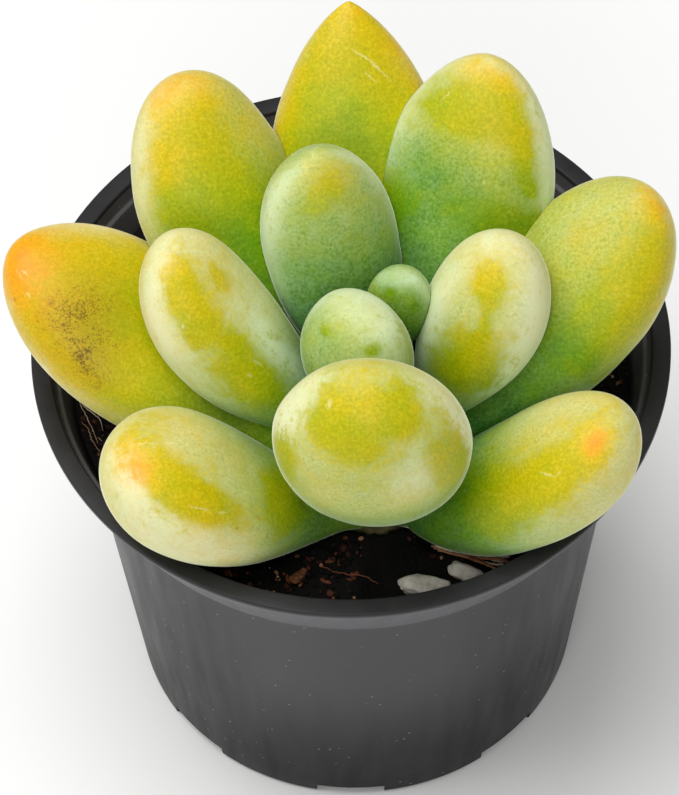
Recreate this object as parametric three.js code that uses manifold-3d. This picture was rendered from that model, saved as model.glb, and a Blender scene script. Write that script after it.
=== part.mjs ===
// A young graptosedum in a round black nursery pot, in millimetres, +Z up.
// The origin is the middle of the pot's underside, and the front of the pot faces -Y.
import * as THREE from 'three';
import { mergeVertices } from 'three/addons/utils/BufferGeometryUtils.js';
import Module from 'manifold-3d';

const wasm = await Module();
wasm.setup();

const GAP = 0.3; // clearance between pieces that touch
const CLEAR = 0.4; // growth of a piece before it cuts its neighbour

// Pot, a 7 cm nursery pot: radii and heights above the ground
const POT_SIDES = 60;
const POT_HEIGHT = 55;
const RIM_RADIUS = 35;
const RIM_WIDTH = 2;
const LIP_EDGE = 0.8;
const LIP_CHAMFER = 0.8;
const LEDGE_DEPTH = 2;
const COLLAR_DEPTH = 9.3;
const COLLAR_RADIUS = 31.1;
const COLLAR_STEP = 1.2;
const STEP_HEIGHT = 0.6;
const COLLAR_FOOT = POT_HEIGHT - COLLAR_DEPTH;
const BODY_TOP = COLLAR_FOOT - STEP_HEIGHT;
const LEDGE = POT_HEIGHT - LEDGE_DEPTH;
const BASE_RADIUS = 25.4;
const WALL = 1.1;
const FLOOR_TOP = 2.8;
const RECESS = 1.5;
const PAD_RADIUS = 9;
const FOOT_RING_WIDTH = 2.6;
const EDGE_BEVEL = 0.5;
const NOTCH_COUNT = 8;
const NOTCH_WIDTH = 7.8;
const NOTCH_HEIGHT = 1.8;
const NOTCH_TURN = -92.5; // degrees, the notch nearest the front
const DRAIN_COUNT = 6;
const DRAIN_RADIUS = 2.6;
const DRAIN_CIRCLE = 16;
const DRAIN_SIDES = 16;

// Soil
const SOIL_LEVEL = 50;
const SOIL_BUMP = 0.45;
const SOIL_WAVES = [ // turns in radians per mm
  { x: 0.42, y: 0.37, share: 1 },
  { x: 0.51, y: 0.83, share: 0.6 },
];
const SOIL_RINGS = 6;
const CRUMB_COUNT = 20;
const CRUMB_SIZE = [0.8, 1.7];
const CRUMB_PLACE = [8, 28.5]; // nearest and furthest from the pot's axis
const CRUMB_DEPTH = [0.7, 1.2]; // across, for one along
const CRUMB_FLAT = 0.6;
const CRUMB_PROUD = 0.25; // share of its size that its middle stands over the soil

// Stem: it comes up in front of the middle and leans back
const STEM_FOOT = new THREE.Vector3(2.5, -18, SOIL_LEVEL);
const STEM_LEAN = { x: 0.08, y: 0.5 }; // mm sideways for each mm of height
const STEM_SINK = 6;
const STEM_SIDES = 16;
const STEM_PROFILE = [[3.1, -STEM_SINK], [3.3, 0], [3, 8], [2.5, 14], [1.7, 17]]; // radius, rise over soil
const STEM_TOP = 18.2;

// Leaves: width across and thickness through the belly, and a bowed middle line from a foot on the
// stem (root is its height) to the tip. sag bows it down, bow sideways. belly is where along the leaf
// it is widest, neck how wide it starts, swell and blunt how it fills out below and above the belly.
const LEAF_SIDES = 12;
const LEAF_ROWS = 16;
const FOOT_TAIL = 1.5;
const UPPER_SHARE = 0.44; // the upper face is flatter than the lower one
const LEAF_FORM = { out: 3, bow: 0, thick: 14, neck: 0.35, belly: 0.58, blunt: 0.5, swell: 1 };
const INNER_FORM = { thick: 12, neck: 0.27, belly: 0.62, swell: 1.6 };

// Where two leaves press together, the one that comes first here keeps its shape
const LEAVES = [
  { name: 'leaf_front', root: 57, tip: [2, -25, 86], sag: 3, width: 20.8, thick: 14.5, swell: 0.75,
    skin: 'golden' },
  { name: 'leaf_centre', root: 64, tip: [1, -13, 79.5], sag: 0, width: 13, thick: 11, swell: 0.75,
    skin: 'pale' },
  { name: 'leaf_smallest', root: 66, tip: [5, -5.5, 76], sag: 0, bow: -0.5, width: 7, thick: 6, swell: 0.75,
    skin: 'pale' },
  { name: 'leaf_inner_left', ...INNER_FORM, root: 59, from: 180, tip: [-18.5, -3, 80], sag: 3, bow: 2,
    width: 14, skin: 'green' },
  { name: 'leaf_inner_right', ...INNER_FORM, root: 59, from: 0, tip: [16.5, -3.5, 79.5], sag: 1, bow: -1.5,
    width: 13.5, skin: 'green' },
  { name: 'leaf_inner_back', root: 62, tip: [-3, 4, 84], sag: 4, width: 15, thick: 12, blunt: 0.6,
    skin: 'pale' },
  { name: 'leaf_back_right', root: 60, tip: [15.5, 16.5, 84], sag: 5, width: 20, blunt: 0.58,
    skin: 'green' },
  { name: 'leaf_back_left', root: 58, tip: [-17.5, 16.5, 82], sag: 5, bow: 1.5, width: 18, blunt: 0.48,
    belly: 0.65, skin: 'green' },
  { name: 'leaf_back', root: 55.5, tip: [0.5, 24.5, 84], sag: 5, width: 19.5, blunt: 0.8, belly: 0.6,
    skin: 'golden' },
  { name: 'leaf_outer_right', root: 55.5, tip: [32, 4, 77], sag: 2.5, bow: -1, width: 18.5, belly: 0.64,
    swell: 1.4, skin: 'green' },
  { name: 'leaf_outer_left', root: 54, tip: [-36, 0.5, 73], sag: 3, bow: -1, width: 20, blunt: 0.55,
    belly: 0.62, swell: 0.9, skin: 'golden' },
  { name: 'leaf_low_right', root: 51.5, from: 340, out: 4, tip: [28.5, -20.5, 71], sag: 1.5, bow: -2,
    width: 15.5, thick: 13, swell: 0.75, skin: 'golden' },
  { name: 'leaf_low_left', root: 51.5, from: 200, out: 4, tip: [-24.5, -22.5, 70], sag: 2, bow: 1.5,
    width: 17, belly: 0.66, swell: 1.5, skin: 'golden' },
];

// Loose pieces on the soil: place, half sizes and turn about Z in degrees
const STONES = [
  { name: 'stone_large', at: [7.3, -28.5, 50.6], half: [2.8, 1.4, 1.2], turn: 7, seed: 5 },
  { name: 'stone_small', at: [11.9, -26.8, 50.3], half: [1.8, 1.1, 0.9], turn: -15, seed: 9 },
];
const STONE_DENT = 0.12;
const CHIPS = [
  { name: 'bark_chip_left', at: [-6.1, -27.4, 50.9], size: [2.4, 1.5, 0.8], turn: 35 },
  { name: 'bark_chip_back', at: [18.5, 18.5, 51.15], size: [2.8, 1.7, 0.9], turn: -20 },
];
const CHIP_TILT = 0.12;
const CHIP_TAPER = 0.25;

const COLORS = {
  pot: 0x3a3a3c,
  soil: 0x2c2019,
  stem: 0x8a9a5a,
  golden: 0xd2c445,
  green: 0xa9bd4e,
  pale: 0x9fbf7a,
  stone: 0xe9e8e4,
  bark: 0x5f3a22,
};
const ROUGHNESS = {
  pot: 0.45,
  soil: 0.95,
  stem: 0.6,
  golden: 0.5,
  green: 0.5,
  pale: 0.55,
  stone: 0.8,
  bark: 0.9,
};

function material(name) {
  return new THREE.MeshStandardMaterial({ color: COLORS[name], roughness: ROUGHNESS[name], metalness: 0 });
}

// A repeatable stream of numbers from 0 to 1
function dice(seed) {
  let state = seed;
  return () => {
    state = (state * 16807) % 2147483647;
    return state / 2147483647;
  };
}

function toSolid(geometry) {
  const bare = geometry.clone();
  bare.deleteAttribute('normal');
  bare.deleteAttribute('uv');
  const merged = mergeVertices(bare);
  return new wasm.Manifold(new wasm.Mesh({
    numProp: 3,
    vertProperties: merged.attributes.position.array,
    triVerts: merged.index.array,
  }));
}

function toGeometry(solid) {
  const mesh = solid.getMesh();
  const geometry = new THREE.BufferGeometry();
  geometry.setAttribute('position', new THREE.BufferAttribute(mesh.vertProperties, 3));
  geometry.setIndex(new THREE.BufferAttribute(mesh.triVerts, 1));
  geometry.computeVertexNormals();
  return geometry;
}

// What is left of a solid clear of its neighbours, without the scraps that a cut can leave
function cutClear(solid, neighbours) {
  const left = neighbours.reduce((rest, neighbour) => rest.subtract(neighbour), solid);
  return left.decompose().reduce((most, piece) => (piece.volume() > most.volume() ? piece : most));
}

function lathe(profile, sides) {
  const points = profile.map(([radius, height]) => new THREE.Vector2(radius, height));
  return new THREE.LatheGeometry(points, sides).rotateX(Math.PI / 2);
}

// Radius of the pot's inner wall at a height
function innerRadius(height) {
  const knots = [
    [FLOOR_TOP, BASE_RADIUS - WALL],
    [BODY_TOP, COLLAR_RADIUS - COLLAR_STEP - WALL],
    [COLLAR_FOOT, COLLAR_RADIUS - WALL],
    [LEDGE, RIM_RADIUS - RIM_WIDTH - 2 * EDGE_BEVEL],
  ];
  const above = Math.max(1, knots.findIndex(([level]) => level >= height));
  const [[low, narrow], [high, wide]] = [knots[above - 1], knots[above]];
  return narrow + (wide - narrow) * (height - low) / (high - low);
}

function potShell() {
  const lipUnder = POT_HEIGHT - LIP_EDGE;
  const ringInside = BASE_RADIUS - FOOT_RING_WIDTH;
  return lathe([
    [0, 0],
    [PAD_RADIUS, 0],
    [PAD_RADIUS + EDGE_BEVEL, RECESS],
    [ringInside - EDGE_BEVEL, RECESS],
    [ringInside, 0],
    [BASE_RADIUS - EDGE_BEVEL, 0],
    [BASE_RADIUS, EDGE_BEVEL],
    [COLLAR_RADIUS - COLLAR_STEP, BODY_TOP],
    [COLLAR_RADIUS, COLLAR_FOOT],
    [RIM_RADIUS - LIP_CHAMFER, lipUnder - LIP_CHAMFER],
    [RIM_RADIUS, lipUnder],
    [RIM_RADIUS, POT_HEIGHT],
    [RIM_RADIUS - RIM_WIDTH, POT_HEIGHT],
    [RIM_RADIUS - RIM_WIDTH - EDGE_BEVEL, LEDGE],
    [innerRadius(LEDGE), LEDGE],
    [innerRadius(COLLAR_FOOT), COLLAR_FOOT],
    [innerRadius(BODY_TOP), BODY_TOP],
    [innerRadius(FLOOR_TOP), FLOOR_TOP],
    [0, FLOOR_TOP],
  ], POT_SIDES);
}

// Room round the pot's lip, for the leaves that lean over it
function rimRoom() {
  const inside = RIM_RADIUS - RIM_WIDTH - CLEAR;
  const outside = RIM_RADIUS + CLEAR;
  const bottom = LEDGE - LEDGE_DEPTH;
  return toSolid(lathe([
    [inside - 2 * EDGE_BEVEL, bottom],
    [outside, bottom],
    [outside, POT_HEIGHT + CLEAR],
    [inside, POT_HEIGHT + CLEAR],
    [inside - 2 * EDGE_BEVEL, LEDGE],
    [inside - 2 * EDGE_BEVEL, bottom],
  ], POT_SIDES));
}

// Turned round the pot's axis from its front
function aroundPot(geometry, radius, degrees) {
  return geometry.translate(radius, 0, 0).rotateZ(THREE.MathUtils.degToRad(degrees));
}

function pot() {
  const cuts = [];
  for (let i = 0; i < NOTCH_COUNT; i += 1) {
    const notch = new THREE.BoxGeometry(2 * FOOT_RING_WIDTH, NOTCH_WIDTH, 2 * NOTCH_HEIGHT);
    cuts.push(toSolid(aroundPot(notch, BASE_RADIUS, NOTCH_TURN + i * 360 / NOTCH_COUNT)));
  }
  for (let i = 0; i < DRAIN_COUNT; i += 1) {
    const drain = new THREE.CylinderGeometry(DRAIN_RADIUS, DRAIN_RADIUS, 4 * FLOOR_TOP, DRAIN_SIDES);
    drain.rotateX(Math.PI / 2);
    cuts.push(toSolid(aroundPot(drain, DRAIN_CIRCLE, i * 360 / DRAIN_COUNT)));
  }
  return cutClear(toSolid(potShell()), cuts);
}

// Rise of the soil's top over its mean level, fading out at the pot's wall
function soilRise(x, y, edge) {
  const heights = SOIL_WAVES.map((wave) => wave.share * Math.sin(wave.x * x) * Math.cos(wave.y * y));
  const fade = Math.min(1, 4 * (1 - Math.hypot(x, y) / edge));
  return SOIL_BUMP * fade * heights.reduce((sum, height) => sum + height);
}

function soilBody() {
  const edge = innerRadius(SOIL_LEVEL) - CLEAR;
  const profile = [
    [0, FLOOR_TOP + GAP],
    [innerRadius(FLOOR_TOP) - GAP, FLOOR_TOP + GAP],
    [innerRadius(BODY_TOP) - GAP, BODY_TOP + GAP],
    [innerRadius(COLLAR_FOOT) - GAP, COLLAR_FOOT + GAP],
  ];
  for (let i = 0; i <= SOIL_RINGS; i += 1) {
    profile.push([edge * (1 - i / SOIL_RINGS), SOIL_LEVEL]);
  }
  const geometry = lathe(profile, POT_SIDES);
  const position = geometry.attributes.position;
  for (let i = 0; i < position.count; i += 1) {
    if (position.getZ(i) > SOIL_LEVEL - GAP) {
      position.setZ(i, SOIL_LEVEL + soilRise(position.getX(i), position.getY(i), edge));
    }
  }
  return toSolid(geometry);
}

function soilCrumbs() {
  const roll = dice(11);
  const crumbs = [];
  for (let i = 0; i < CRUMB_COUNT; i += 1) {
    const size = THREE.MathUtils.lerp(...CRUMB_SIZE, roll());
    const radius = THREE.MathUtils.lerp(...CRUMB_PLACE, Math.sqrt(roll()));
    const turn = 2 * Math.PI * roll();
    const crumb = new THREE.IcosahedronGeometry(size, 0);
    crumb.scale(1, THREE.MathUtils.lerp(...CRUMB_DEPTH, roll()), CRUMB_FLAT);
    crumb.rotateX(roll()).rotateZ(2 * Math.PI * roll());
    crumb.translate(radius * Math.cos(turn), radius * Math.sin(turn), SOIL_LEVEL + CRUMB_PROUD * size);
    crumbs.push(toSolid(crumb));
  }
  return crumbs;
}

function stemAt(height) {
  const rise = height - STEM_FOOT.z;
  return new THREE.Vector3(STEM_FOOT.x + STEM_LEAN.x * rise, STEM_FOOT.y + STEM_LEAN.y * rise, height);
}

function stem(grow) {
  const profile = [[0, -STEM_SINK - grow]];
  STEM_PROFILE.forEach(([radius, rise]) => profile.push([radius + grow, rise < 0 ? rise - grow : rise]));
  profile.push([0, STEM_TOP + grow]);
  const geometry = lathe(profile, STEM_SIDES);
  const position = geometry.attributes.position;
  for (let i = 0; i < position.count; i += 1) {
    const axis = stemAt(STEM_FOOT.z + position.getZ(i));
    position.setXYZ(i, position.getX(i) + axis.x, position.getY(i) + axis.y, axis.z);
  }
  return toSolid(geometry);
}

// The leaf's middle line, and the direction across it
function leafLine(leaf) {
  const onStem = stemAt(leaf.root);
  const tip = new THREE.Vector3(...leaf.tip);
  const heading = leaf.from === undefined
    ? Math.atan2(tip.y - onStem.y, tip.x - onStem.x)
    : THREE.MathUtils.degToRad(leaf.from);
  const foot = onStem.clone();
  foot.x += leaf.out * Math.cos(heading);
  foot.y += leaf.out * Math.sin(heading);
  const along = tip.clone().sub(foot).normalize();
  const side = new THREE.Vector3(0, 0, 1).cross(along).normalize();
  const up = along.clone().cross(side);
  const middle = foot.clone().add(tip).multiplyScalar(0.5);
  middle.addScaledVector(up, -2 * leaf.sag).addScaledVector(side, 2 * leaf.bow);
  return { curve: new THREE.QuadraticBezierCurve3(foot, middle, tip), side };
}

// How full the leaf is at a share of its length, from its neck to 1 at the belly and 0 at the tip
function fullness(share, leaf) {
  if (share < leaf.belly) {
    const toBelly = 1 - share / leaf.belly;
    return leaf.neck + (1 - leaf.neck) * (1 - toBelly ** 2) ** leaf.swell;
  }
  const pastBelly = (share - leaf.belly) / (1 - leaf.belly);
  return Math.max(0, 1 - pastBelly ** 2) ** leaf.blunt;
}

// Rows are even up to the belly and closer together towards the tip
function rowShare(row, leaf) {
  const step = (row - 2) / (LEAF_ROWS - 2);
  if (step < 0.5) return Math.max(0, 2 * step * leaf.belly);
  return leaf.belly + (1 - leaf.belly) * Math.sin(Math.PI * (step - 0.5));
}

// A ball drawn out along the leaf's middle line. Its first two rows close the foot, inside the stem.
function leafSolid(leaf, grow) {
  const { curve, side } = leafLine(leaf);
  const geometry = new THREE.SphereGeometry(1, LEAF_SIDES, LEAF_ROWS);
  const position = geometry.attributes.position;
  for (let i = 0; i < position.count; i += 1) {
    const row = Math.floor(i / (LEAF_SIDES + 1));
    const turn = -2 * Math.PI * (i % (LEAF_SIDES + 1)) / LEAF_SIDES;
    const share = rowShare(row, leaf);
    const along = curve.getTangent(share);
    const across = side.clone().addScaledVector(along, -side.dot(along)).normalize();
    const up = along.clone().cross(across);
    const point = curve.getPoint(share);
    const open = row === 0 || row === LEAF_ROWS ? 0 : 1;
    const full = fullness(share, leaf);
    const deep = leaf.thick * (Math.sin(turn) > 0 ? UPPER_SHARE : 1 - UPPER_SHARE);
    if (row < 2) point.addScaledVector(along, -FOOT_TAIL - grow);
    if (row === LEAF_ROWS) point.addScaledVector(along, grow);
    point.addScaledVector(across, open * (leaf.width / 2 * full + grow) * Math.cos(turn));
    point.addScaledVector(up, open * (deep * full + grow) * Math.sin(turn));
    position.setXYZ(i, point.x, point.y, point.z);
  }
  return toSolid(geometry);
}

function stone({ at, half, turn, seed }, grow) {
  const roll = dice(seed);
  const bend = [roll(), roll(), roll()].map((share) => 2 + 3 * share);
  const geometry = new THREE.SphereGeometry(1, 12, 8);
  const position = geometry.attributes.position;
  for (let i = 0; i < position.count; i += 1) {
    const [x, y, z] = [position.getX(i), position.getY(i), position.getZ(i)];
    const dent = 1 + STONE_DENT * Math.sin(bend[0] * x + bend[1] * y) * Math.cos(bend[2] * z - x);
    position.setXYZ(i, x * (dent * half[0] + grow), y * (dent * half[1] + grow), z * (dent * half[2] + grow));
  }
  geometry.rotateZ(THREE.MathUtils.degToRad(turn));
  return toSolid(geometry.translate(...at));
}

function chip({ at, size, turn }) {
  const geometry = new THREE.BoxGeometry(...size, 2, 2, 1);
  const position = geometry.attributes.position;
  for (let i = 0; i < position.count; i += 1) {
    const narrowing = 1 - CHIP_TAPER * Math.abs(position.getX(i) / size[0]);
    position.setY(i, position.getY(i) * narrowing);
  }
  geometry.rotateX(CHIP_TILT).rotateZ(THREE.MathUtils.degToRad(turn));
  return toSolid(geometry.translate(...at));
}

const group = new THREE.Group();

function addPiece(name, solid, look) {
  const mesh = new THREE.Mesh(toGeometry(solid), material(look));
  mesh.name = name;
  group.add(mesh);
}

const leaves = LEAVES.map((given) => ({ ...LEAF_FORM, ...given }));
const grownStem = stem(CLEAR);
const grownLeaves = leaves.map((leaf) => leafSolid(leaf, CLEAR));
const grownStones = STONES.map((piece) => stone(piece, GAP));
const rim = rimRoom();

addPiece('pot', pot(), 'pot');
addPiece('stem', stem(0), 'stem');
leaves.forEach((leaf, i) => {
  const shape = cutClear(leafSolid(leaf, 0), [grownStem, rim, ...grownLeaves.slice(0, i)]);
  addPiece(leaf.name, shape, leaf.skin);
});

const soil = soilCrumbs().reduce((whole, crumb) => whole.add(crumb), soilBody());
addPiece('soil', cutClear(soil, [grownStem, ...grownLeaves, ...grownStones]), 'soil');
STONES.forEach((piece) => addPiece(piece.name, stone(piece, 0), 'stone'));
CHIPS.forEach((piece) => addPiece(piece.name, chip(piece), 'bark'));

export default group;
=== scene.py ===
# A young graptosedum in a round black nursery pot. Sizes and places are in millimetres unless it says
# metres, and +Z is up. The origin is the middle of the pot's underside, and the front is -Y.
import math
from functools import partial

import bmesh
import bpy
import numpy as np
from mathutils import Matrix, Quaternion, Vector, kdtree, noise


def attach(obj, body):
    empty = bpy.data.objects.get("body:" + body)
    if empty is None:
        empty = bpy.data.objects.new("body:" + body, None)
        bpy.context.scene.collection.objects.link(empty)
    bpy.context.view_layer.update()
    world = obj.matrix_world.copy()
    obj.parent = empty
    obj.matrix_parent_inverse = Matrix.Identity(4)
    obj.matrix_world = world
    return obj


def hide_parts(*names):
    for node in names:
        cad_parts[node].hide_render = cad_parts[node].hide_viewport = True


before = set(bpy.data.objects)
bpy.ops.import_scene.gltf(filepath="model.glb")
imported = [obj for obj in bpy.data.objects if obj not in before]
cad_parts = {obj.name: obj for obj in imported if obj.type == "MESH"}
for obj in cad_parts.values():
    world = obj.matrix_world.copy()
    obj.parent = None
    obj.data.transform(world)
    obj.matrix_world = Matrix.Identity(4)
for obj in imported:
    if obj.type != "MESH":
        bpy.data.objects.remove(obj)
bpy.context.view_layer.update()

MM = 0.001
GAP = 0.3  # clearance between the soil and what stands in it
PRESS_GAP = 0.04  # clearance where leaves press together
RIM_ROOM = (1, 2)  # how far the room round the lip goes on inside it and below its ledge

# Camera: the rim's ellipse and the base give its elevation and distance
IMAGE_HEIGHT = 795  # pixels, the long side
FOCAL_PIXELS = 5000
SENSOR = 36
ELEVATION = math.radians(55.2)
DISTANCE = 547
RIM_CENTRE = Vector((0, 0, 55))
AIM = Vector((-1.36, -4.9, 51.59))
ROLL = math.radians(-1.41)
CLIP = (0.01, 20)  # metres

# Pot, as in the CAD
POT_SIDES = 240
POT_HEIGHT = 55
RIM_RADIUS = 35
RIM_WIDTH = 2
LIP_EDGE = 0.8
LIP_CHAMFER = 0.8
LEDGE = POT_HEIGHT - 2
COLLAR_FOOT = POT_HEIGHT - 9.3
COLLAR_RADIUS = 31.1
COLLAR_STEP = 1.2
BODY_TOP = COLLAR_FOOT - 0.6
BASE_RADIUS = 25.4
WALL = 1.1
FLOOR_TOP = 2.8
RECESS = 1.5
PAD_RADIUS = 9
FOOT_RING_WIDTH = 2.6
EDGE_BEVEL = 0.5
NOTCH_COUNT = 8
NOTCH_WIDTH = 7.8
NOTCH_HEIGHT = 1.8
NOTCH_TURN = -92.5
DRAIN_COUNT = 6
DRAIN_RADIUS = 2.6
DRAIN_CIRCLE = 16
DRAIN_SIDES = 48
ROUNDING = 0.22  # radius of the moulding's edges
ROUNDING_STEPS = 3
WALL_ROW = 2.5  # height of a row of faces on the pot's walls

# Soil, as in the CAD, with finer crumbs
SOIL_LEVEL = 50
SOIL_EDGE = 30.7
SOIL_BUMP = 0.45
SOIL_WAVES = [(0.42, 0.37, 1), (0.51, 0.83, 0.6)]  # turns in radians per mm along x and y, and share
CLODS = [(2.6, 0.7), (1, 0.4), (0.5, 0.2)]  # size across and height of the soil's uneven places
SOIL_RINGS = 96
SOIL_SIDES = 264
WAVE_FADE = 4  # the waves fade out over a quarter of the radius, next to the wall
CLOD_FADE = 6
CLOD_LEAST = 0.15  # share of the clods' height that is left at the wall
SOIL_TONE = (0.2, 0.3)  # the bed's middle tone and how far it varies
SOIL_SHADES = [(2, 1)]  # size across and share of the bed's darker and lighter places
HOLLOW_DEPTH = 8  # the soil under a leaf or the stem sinks towards a place this far down
HALVINGS = 10  # steps that find how far it sinks
CRUMBS = [  # how many, smallest, largest, proportions, darkest, lightest
    (3400, 0.14, 0.4, None, 0.05, 0.85),
    (450, 0.4, 0.75, None, 0.05, 0.7),
    (300, 0.35, 0.8, (1, 0.4, 0.2), 0.3, 0.8),
    (260, 0.07, 0.2, None, 0.8, 1),
]
CRUMB_ROOM = 1.1  # how far a crumb keeps from leaves, stem and wall, as a share of its size
CRUMB_RISE = 0.25  # how far a crumb's middle is above the bed, as a share of its size
CRUMB_SEED = 11
LUMP_CUTS = 7
LUMP_DEPTH = (0.45, 0.8)  # nearest and farthest broken face from the middle, as a share of the radius
LUMP_UNEVEN = (0.16, 2.2)  # height of a lump's uneven places and how close they are, for a radius of 1
LUMP_LOW = 0.7  # a crumb's height, and the least that its depth can be, as a share of its width

# Stem, as in the CAD
STEM_FOOT = np.array([2.5, -18, SOIL_LEVEL])
STEM_LEAN = np.array([0.08, 0.5, 1])  # mm for each mm of height
STEM_PROFILE = [(3.1, -6), (3.3, 0), (3, 8), (2.5, 14), (1.7, 17), (0.9, 18)]
STEM_TOP = 18.2
STEM_WAVES = (0.1, 2.6)  # height, and turns in radians per mm

# Leaves, as in the CAD
LEAF_SIDES = 112
LEAF_ROWS = 150
RING_STEPS = 90  # rings that tell what lies inside a leaf
FOOT_TAIL = 1.5
UPPER_SHARE = 0.44
LEAF_FORM = dict(rim=0.35, out=3, bow=0, thick=14, neck=0.35, belly=0.58, blunt=0.5, swell=1, start=None)
INNER_FORM = dict(thick=12, neck=0.27, belly=0.62, swell=1.6)
SHARP_EDGE = math.radians(38)
LUMPS = [(11, 0.28), (4.5, 0.07)]  # size across and height of the skin's uneven places

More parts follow.
